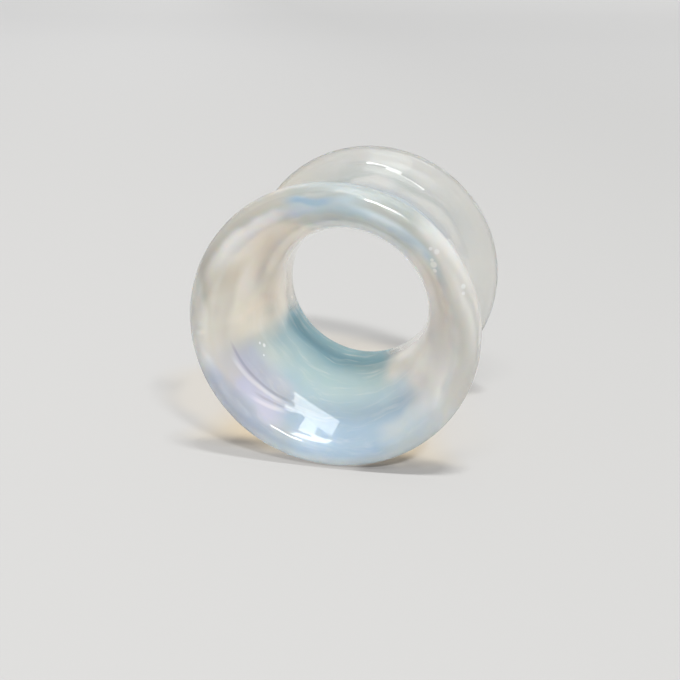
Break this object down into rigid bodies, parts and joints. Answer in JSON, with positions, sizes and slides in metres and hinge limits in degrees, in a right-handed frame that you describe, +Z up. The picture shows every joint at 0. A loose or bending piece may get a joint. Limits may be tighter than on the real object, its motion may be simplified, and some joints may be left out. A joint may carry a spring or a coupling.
{
  "type": "ear tunnel",
  "caption": "Hollow double-flared ear tunnel in milky opalescent glass, with rounded lips and a round see-through hole, lying on its two rims.",
  "frame": {"origin": "on the surface that it lies on, midway between the two places where the rims touch it, under the hole's axis", "axes": "+Y along the hole from the front flare to the back flare, +Z up from the surface, +X to the right when looking into the front flare"},
  "size_m": [0.014, 0.0114, 0.0139],
  "materials": {
    "opal_glass": "fire-polished opalescent glass, blue by reflected light and warm cream by transmitted light"
  },
  "bodies": {
    "root": {"glass_tunnel": "opal_glass"}
  },
  "joints": []
}
